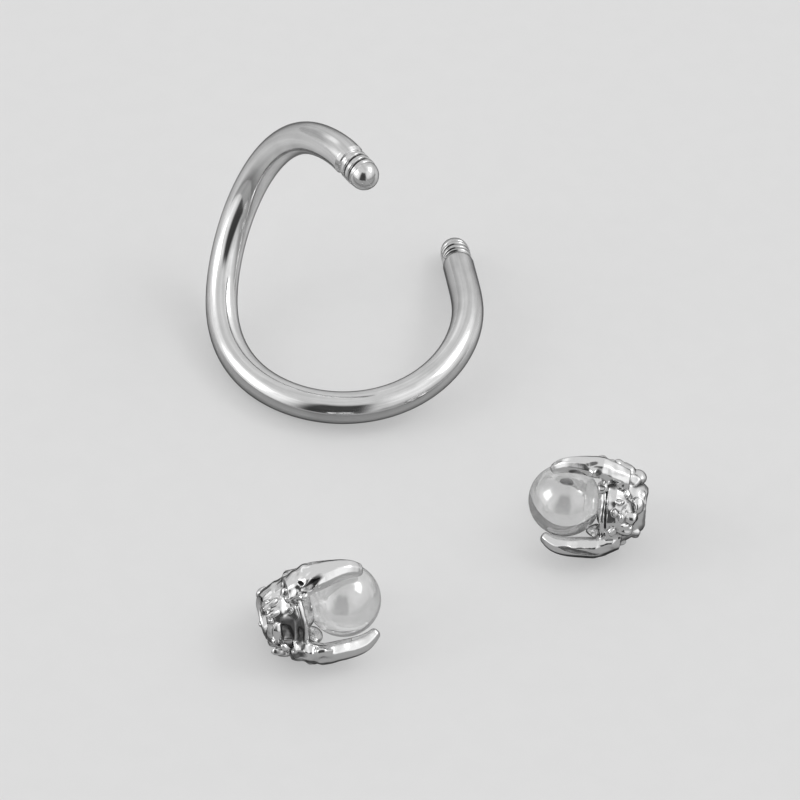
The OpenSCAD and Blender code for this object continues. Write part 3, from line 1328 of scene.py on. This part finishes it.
@dataclass
class GlassBall:
    """A hand-finished glass ball that is round within a few hundredths of a millimetre."""

    name: str
    box: tuple[Vector, Vector]
    seed: int
    rings: int = 96
    segments: int = 144
    waves: int = 6
    waves_across: float = 2.0
    waviness: float = 0.004

    def build(self, finish: BallGlass) -> bpy.types.Object:
        """Builds the ball.

        Args:
            finish: What the ball is made of.

        Returns:
            The finished piece.
        """
        low, high = self.box
        middle, radius = (low + high) / 2, (high - low).x / 2
        draw = np.random.default_rng(self.seed)
        waves = draw.normal(size=(self.waves, 3)) * self.waves_across
        shifts = draw.uniform(0, 2 * math.pi, self.waves)
        rows = [(0.0, 0.0, 1.0)]
        for ring in range(1, self.rings):
            polar = math.pi * ring / self.rings
            wide, up = math.sin(polar), math.cos(polar)
            for segment in range(self.segments):
                turn = 2 * math.pi * segment / self.segments
                rows.append((wide * math.cos(turn), wide * math.sin(turn), up))
        rows.append((0.0, 0.0, -1.0))
        ways = np.array(rows)
        height = np.sin(ways @ waves.T + shifts).sum(1) / self.waves - 1
        points = ways * radius * (1 + self.waviness * height)[:, None] + np.array(middle)
        n = self.segments
        faces = [(0, 1 + k, 1 + (k + 1) % n) for k in range(n)]
        for ring in range(self.rings - 2):
            a, b = 1 + ring * n, 1 + (ring + 1) * n
            faces += [(a + k, b + k, b + (k + 1) % n, a + (k + 1) % n) for k in range(n)]
        tail, bottom = 1 + (self.rings - 2) * n, len(rows) - 1
        faces += [(bottom, tail + (k + 1) % n, tail + k) for k in range(n)]
        mesh = smooth_mesh(self.name, points, faces, finish.material())
        mesh.update()
        return shown(self.name + "_glass", mesh, self.name)


@dataclass(frozen=True)
class SoftPanel:
    """A soft light or a dark card far round the object.

    Angles are in degrees: azimuth from straight behind the object towards the viewer's right, and elevation.
    """

    azimuth: float
    half_width: float
    elevation: float
    half_height: float
    softness: float
    radiance: float


@dataclass
class Studio:
    """The pale floor, the soft lights round it, and the camera.

    The camera's place is in millimetres and the floor's lengths are in metres. The mirrored values are how
    bright the metal and the glass see the floor: far, near, and close in front. Near and close in front they
    are painted shade, so the reflected floor is darker towards the viewer.
    """

    room: float = 0.72
    backdrop: float = 0.73
    floor_tone: float = 0.765
    table_glow: float = 0.73
    table_share: float = 0.45
    mirrored_far: float = 0.75
    painted_shade_near: float = 0.17
    painted_shade_front: float = 0.42
    mirrored_depths: tuple[float, float] = (-0.008, 0.012)
    front_depths: tuple[float, float] = (-0.006, -0.003)
    floor_specks: float = 900.0
    speck_range: tuple[float, float] = (0.3, 0.7)
    floor_mottle: float = 0.01
    floor_roughness: float = 0.9
    floor_gloss: float = 0.1
    floor_size: float = 3.0
    camera_place: tuple[float, float, float] = (-7.44, -84.709, 91.861)
    camera_forward: tuple[float, float, float] = (0.05346, 0.68831, -0.72344)
    camera_right: tuple[float, float, float] = (0.99728, 0.0, 0.0737)
    focal_pixels: float = 3411.0
    picture_pixels: float = 800.0
    sensor_mm: float = 36.0
    clip_range: tuple[float, float] = (0.002, 10.0)
    panels: tuple[SoftPanel, ...] = (
        SoftPanel(90, 58, 48, 22, 24, 1.05),
        SoftPanel(78, 22, 50, 9, 14, 4.2),
        SoftPanel(-104, 30, 26, 24, 16, 1.05),
        SoftPanel(-98, 14, 28, 12, 12, 3.4),
        SoftPanel(-170, 25, 13, 47, 16, 0.06),
        SoftPanel(120, 40, 0, 12, 16, 0.36),
        SoftPanel(-48, 16, 5, 14, 14, 0.50),
        SoftPanel(-36, 12, 32, 8, 12, 1.1),
    )

    def build(self) -> None:
        """Builds the studio."""
        self.light_room()
        self.lay_floor()
        self.set_camera()
        bpy.context.scene.view_settings.view_transform = "Standard"

    def light_room(self) -> None:
        """Lights the object from a soft tent with brighter panels and darker cards in it."""
        world = bpy.data.worlds.new("light_tent")
        bpy.context.scene.world = world
        world.use_nodes = True
        world.node_tree.nodes.clear()
        wires = Wiring(world.node_tree)
        way = wires.add("ShaderNodeTexCoord").outputs["Generated"]
        x, y, z = wires.add("ShaderNodeSeparateXYZ", {0: way}).outputs
        azimuth = wires.math("ARCTAN2", x, y)
        elevation = wires.math("ARCSINE", z)
        light: object = self.room
        for panel in self.panels:
            off = wires.math("SUBTRACT", azimuth, math.radians(panel.azimuth))
            off = wires.math("ABSOLUTE", wires.math("WRAP", off, math.pi, -math.pi))
            rise = wires.math("SUBTRACT", elevation, math.radians(panel.elevation))
            rise = wires.math("ABSOLUTE", rise)
            soft = math.radians(panel.softness) / 2
            wide, high = math.radians(panel.half_width), math.radians(panel.half_height)
            inside = wires.math(
                "MULTIPLY",
                wires.ramp(off, wide - soft, wide + soft, 1.0, 0.0),
                wires.ramp(rise, high - soft, high + soft, 1.0, 0.0),
            )
            step = wires.math("MULTIPLY", inside, wires.math("SUBTRACT", panel.radiance, light))
            light = wires.math("ADD", light, step)
        seen = wires.add("ShaderNodeLightPath").outputs["Is Camera Ray"]
        plain = wires.math("MULTIPLY", seen, wires.math("SUBTRACT", self.backdrop, light))
        strength = wires.math("ADD", light, plain)
        background = wires.add("ShaderNodeBackground", {"Color": grey(1.0), "Strength": strength})
        wires.add("ShaderNodeOutputWorld", {0: background.outputs[0]})

    def lay_floor(self) -> None:
        """Lays the pale floor, a light table that glows a little, at the height of the origin."""
        half = self.floor_size / 2
        mesh = bpy.data.meshes.new("floor")
        corners = [(-half, -half, 0), (half, -half, 0), (half, half, 0), (-half, half, 0)]
        mesh.from_pydata(corners, [], [(0, 1, 2, 3)])
        material, wires, shader = new_material("pale_floor")
        place = wires.add("ShaderNodeTexCoord").outputs["Object"]
        speck = wires.noise(place, self.floor_specks, detail=4.0)
        darkest = self.floor_tone * (1 - self.floor_mottle)
        palest = self.floor_tone * (1 + self.floor_mottle)
        plain = wires.ramp(speck, *self.speck_range, darkest, palest)
        _, depth, _ = wires.add("ShaderNodeSeparateXYZ", {0: place}).outputs
        # Painted shade: the floor that the metal and the glass reflect is darker towards the viewer
        mirrored = wires.ramp(depth, *self.mirrored_depths, self.painted_shade_near, self.mirrored_far)
        front = wires.ramp(depth, *self.front_depths, self.painted_shade_front, 0.0)
        mirrored = wires.math("MAXIMUM", mirrored, front)
        path = wires.add("ShaderNodeLightPath").outputs
        through = wires.math("SUBTRACT", 1.0, path["Is Transmission Ray"])
        is_mirrored = wires.math("MULTIPLY", path["Is Glossy Ray"], through)
        wires.feed(wires.tone(is_mirrored, plain, mirrored), shader, "Base Color")
        shader.inputs["Roughness"].default_value = self.floor_roughness
        shader.inputs["Specular IOR Level"].default_value = self.floor_gloss
        unmirrored = wires.math("SUBTRACT", 1.0, is_mirrored)
        glow = wires.math("MULTIPLY", self.table_glow, unmirrored)
        lit = wires.add("ShaderNodeEmission", {"Color": grey(1.0), "Strength": glow}).outputs[0]
        share = wires.math("MULTIPLY", self.table_share, unmirrored)
        mixed = wires.add("ShaderNodeMixShader", {0: share, 1: shader.outputs[0], 2: lit})
        wires.feed(mixed.outputs[0], wires.tree.nodes["Material Output"], "Surface")
        mesh.materials.append(material)
        floor = bpy.data.objects.new("floor", mesh)
        bpy.context.scene.collection.objects.link(floor)

    def set_camera(self) -> None:
        """Stands the camera where the photograph was taken from."""
        data = bpy.data.cameras.new("camera")
        data.sensor_width = self.sensor_mm
        data.lens = self.focal_pixels / self.picture_pixels * self.sensor_mm
        data.clip_start, data.clip_end = self.clip_range
        camera = bpy.data.objects.new("camera", data)
        forward = Vector(self.camera_forward).normalized()
        right = Vector(self.camera_right)
        right = (right - forward * right.dot(forward)).normalized()
        turn = Matrix((right, right.cross(forward), -forward)).transposed().to_4x4()
        camera.matrix_world = Matrix.Translation(Vector(self.camera_place) * MM) @ turn
        bpy.context.scene.collection.objects.link(camera)
        bpy.context.scene.camera = camera


# Outlines of the two bodies and their collars: radius, and height above the mouth
FRONT_CORE = ((0.71, -0.02), (0.85, 0.08), (0.98, 0.28), (1.13, 0.68), (1.25, 1.05), (1.30, 1.16))
FRONT_COLLAR = ((1.34, 1.12), (1.38, 1.20), (1.36, 1.31), (1.24, 1.37), (0.80, 1.40), (0.52, 1.76))
RIGHT_CORE = (
    (0.70, 0.00),
    (0.82, 0.10),
    (0.98, 0.30),
    (1.26, 0.72),
    (1.42, 1.05),
    (1.46, 1.36),
    (1.34, 1.385),
)
RIGHT_COLLAR = (
    (1.32, 1.36),
    (1.32, 1.42),
    (1.42, 1.44),
    (1.42, 1.56),
    (1.28, 1.64),
    (0.80, 1.60),
    (0.52, 1.76),
)

# Claws: angle, factor on the length, move outwards, factors on width and thickness
FRONT_CLAWS = (Claw(0.0, 1.0, -0.07), Claw(120.0, 1.05, 0.11), Claw(240.0, 1.0, 0.06))
RIGHT_CLAWS = (Claw(0.0, 0.90, 0.33, 0.74, 0.92), Claw(120.0, 1.0, -0.03), Claw(240.0))

# Nuggets and pits, read from the photo: angle, height, distance from the axis, half sizes across, out and
# along, then lean and corner, and for pits the strength of their tarnish and painted shade
FRONT_LUMPS = (
    Lump(-10, 0.36, 0.92, 0.20, 0.18, 0.40, -28),
    Lump(13, 0.32, 0.99, 0.14, 0.20, 0.46, -22),
    Lump(32, 0.30, 0.97, 0.11, 0.17, 0.34, -14),
    Lump(3, 0.74, 1.22, 0.15, 0.17, 0.15),
    Lump(-12, 0.90, 1.25, 0.16, 0.17, 0.17),
    Lump(-1, 1.13, 1.38, 0.15, 0.17, 0.15),
    Lump(18, 0.82, 1.24, 0.12, 0.17, 0.16, 20),
    Lump(6, 1.40, 1.52, 0.14, 0.19, 0.13),
    Lump(15, 1.10, 1.40, 0.12, 0.18, 0.12),
    Lump(24, 1.25, 1.48, 0.12, 0.17, 0.13),
    Lump(36, 0.78, 1.26, 0.11, 0.15, 0.09),
    Lump(68, 0.24, 1.05, 0.34, 0.13, 0.18),
    Lump(46, 0.12, 0.92, 0.12, 0.14, 0.12),
    Lump(94, 0.24, 1.02, 0.14, 0.16, 0.16),
    Lump(98, 0.52, 1.26, 0.14, 0.20, 0.20, 20),
    Lump(110, 0.90, 1.46, 0.18, 0.20, 0.20),
    Lump(124, 0.40, 1.20, 0.20, 0.20, 0.30),
    Lump(112, 1.18, 1.62, 0.14, 0.17, 0.15),
    Lump(130, 1.00, 1.52, 0.18, 0.18, 0.26),
    Lump(126, 1.38, 1.72, 0.14, 0.17, 0.17),
    Lump(104, 1.74, 1.78, 0.28, 0.19, 0.30),
    Lump(134, 1.64, 1.84, 0.16, 0.17, 0.18),
    Lump(146, 0.70, 1.36, 0.20, 0.18, 0.30),
    Lump(152, 1.72, 1.06, 0.58, 0.24, 0.36),
    Lump(-42, 1.40, 1.19, 0.42, 0.22, 0.48),
)
FRONT_PITS = (
    Pit(70, 0.65, 1.34, 0.46, 0.46, 0.22, 0, 6.0, 1.0),
    Pit(73, 1.03, 1.48, 0.58, 0.34, 0.14, 0, 5.0, 0.9),
    Pit(29, 0.97, 1.48, 0.11, 0.22, 0.12, 20, 3.0, 0.75),
    Pit(41, 0.50, 1.30, 0.08, 0.17, 0.34, -35, 3.0, 0.7),
    Pit(66, 0.05, 1.06, 0.56, 0.14, 0.05, 0, 3.0, 0.75),
    Pit(96, 0.22, 1.24, 0.22, 0.15, 0.06, 15, 3.0, 0.75),
    Pit(107, 0.72, 1.72, 0.09, 0.22, 0.46, -10, 3.0, 0.75),
    Pit(9, 1.27, 1.66, 0.06, 0.09, 0.13, 40, 3.0, 0.55),
    Pit(13, 1.62, 1.80, 0.12, 0.22, 0.38, -26, 4.0, 0.7),
    Pit(10, 0.56, 1.22, 0.05, 0.10, 0.07, 0, 2.0, 0.4),
    Pit(101, 2.12, 2.06, 0.05, 0.20, 0.13, 30, 2.0, 0.6),
)

# The same for the right end
RIGHT_LUMPS = (
    Lump(-9, 0.72, 1.18, 0.27, 0.24, 0.34, 8),
    Lump(-2, 1.22, 1.52, 0.14, 0.18, 0.14),
    Lump(12, 1.02, 1.42, 0.17, 0.20, 0.17),
    Lump(24, 0.78, 1.26, 0.11, 0.17, 0.32, -50),
    Lump(38, 0.40, 1.02, 0.30, 0.24, 0.26),
    Lump(52, 1.16, 1.46, 0.17, 0.18, 0.17),
    Lump(60, 0.90, 1.38, 0.20, 0.17, 0.12, 20),
    Lump(37, 1.02, 1.42, 0.13, 0.17, 0.15),
    Lump(66, 0.58, 1.10, 0.28, 0.20, 0.28),
    Lump(84, 0.78, 1.22, 0.26, 0.19, 0.34),
    Lump(82, 1.16, 1.46, 0.18, 0.17, 0.17),
    Lump(104, 0.50, 1.00, 0.24, 0.18, 0.36),
    Lump(107, 1.16, 1.46, 0.22, 0.18, 0.22),
    Lump(124, 0.90, 1.28, 0.22, 0.18, 0.34),
    Lump(-14, 1.86, 1.84, 0.22, 0.22, 0.24),
    Lump(-14, 1.50, 1.70, 0.22, 0.20, 0.22),
    Lump(-32, 1.30, 1.48, 0.30, 0.22, 0.30),
    Lump(-31, 0.88, 1.34, 0.44, 0.26, 0.36),
    Lump(-30, 0.48, 1.12, 0.40, 0.24, 0.32),
    Lump(11, 2.08, 2.04, 0.13, 0.15, 0.14),
    Lump(18, 1.72, 1.48, 0.24, 0.20, 0.22),
    Lump(10, 1.60, 1.62, 0.14, 0.18, 0.16),
    Lump(10, 0.34, 0.78, 0.24, 0.16, 0.24),
    Lump(152, 1.72, 1.04, 0.56, 0.24, 0.32),
)
RIGHT_PITS = (
    Pit(4, 2.22, 2.34, 0.08, 0.13, 0.22, 20, 3.0, 0.9),
    Pit(12, 1.94, 2.16, 0.12, 0.14, 0.10, 0, 3.0, 0.9),
    Pit(21, 1.80, 1.74, 0.12, 0.12, 0.20, -25, 3.0, 1.0),
    Pit(9, 2.62, 1.88, 0.08, 0.14, 0.36, 0, 3.0, 1.0),
    Pit(-7, 1.66, 2.02, 0.06, 0.10, 0.13, 0, 2.0, 0.45),
    Pit(36, 1.20, 1.60, 0.06, 0.14, 0.06, 0, 2.0, 0.75),
    Pit(26, 0.60, 1.28, 0.11, 0.15, 0.17, 40, 3.0, 0.4),
    Pit(52, 0.74, 1.32, 0.07, 0.12, 0.05, 0, 2.0, 0.6),
    Pit(76, 0.54, 1.26, 0.07, 0.14, 0.06, 0, 2.0, 0.6),
    Pit(89, 0.98, 1.54, 0.06, 0.20, 0.13, -15, 3.0, 0.9),
    Pit(44, 0.82, 1.38, 0.04, 0.12, 0.16, 60, 2.0, 0.6),
    Pit(98, 0.62, 1.24, 0.05, 0.12, 0.10, 30, 2.0, 0.5),
    Pit(108.5, 2.42, 1.90, 0.09, 0.13, 0.82, 0, 3.0, 1.0),
)

# Rings of nuggets on the hidden side: height and distance from the axis, the angles that they cover, their
# step, and how much shorter it gets for each millimetre of height
FAR_RINGS = ((0.40, 1.02), (0.82, 1.24), (1.20, 1.42))
FAR_ANGLES = (162, 276)
FAR_STEP = 24
FAR_STEP_LOSS = 4

# How far these nuggets stray in angle, height and distance, their half sizes, extra length and lean
FAR_STRAY = (5, 0.08, 0.03)
FAR_SIZES = (0.15, 0.23)
FAR_EXTRA = 0.05
FAR_LEAN = 25


def far_lumps(seed: int) -> tuple[Lump, ...]:
    """Nuggets on the side that the photograph doesn't show.

    Args:
        seed: Chooses their sizes and places.

    Returns:
        The nuggets, in three rings.
    """
    draw = np.random.default_rng(seed)
    found = []
    for height, out in FAR_RINGS:
        for angle in np.arange(*FAR_ANGLES, FAR_STEP - FAR_STEP_LOSS * height):
            size = draw.uniform(*FAR_SIZES, 3)
            place = [v + draw.uniform(-stray, stray) for v, stray in zip((angle, height, out), FAR_STRAY)]
            lean = draw.uniform(-FAR_LEAN, FAR_LEAN)
            found.append(Lump(*place, size[0], size[1], size[2] + FAR_EXTRA, lean))
    return tuple(found)


def main() -> None:
    """Builds the studio and the pieces, and reports each piece."""
    logging.basicConfig(level=logging.INFO, format="%(name)s: %(message)s")
    Studio().build()
    front = ClawEnd(
        name="claw_front",
        ball_box=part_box("ball_front"),
        hole_mount="front_claw_hole",
        near_side=-1,
        core=FRONT_CORE,
        collar=FRONT_COLLAR,
        claws=FRONT_CLAWS,
        lumps=FRONT_LUMPS + far_lumps(seed=4),
        pits=FRONT_PITS,
        droop=0.12,
        seed=40,
    )
    right = ClawEnd(
        name="claw_right",
        ball_box=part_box("ball_right"),
        hole_mount="right_claw_hole",
        near_side=1,
        core=RIGHT_CORE,
        collar=RIGHT_COLLAR,
        claws=RIGHT_CLAWS,
        lumps=RIGHT_LUMPS + far_lumps(seed=5),
        pits=RIGHT_PITS,
        droop=-0.10,
        seed=60,
    )
    pieces = [
        TwisterPost().build(PolishedWire()),
        front.build(CastSteel()),
        right.build(CastSteel()),
        GlassBall("ball_front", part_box("ball_front"), seed=7).build(BallGlass()),
        GlassBall("ball_right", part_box("ball_right"), seed=8).build(BallGlass()),
    ]
    for piece in pieces:
        LOG.info("%s: %d faces", piece.name, len(piece.data.polygons))


if __name__ == "__main__":
    main()
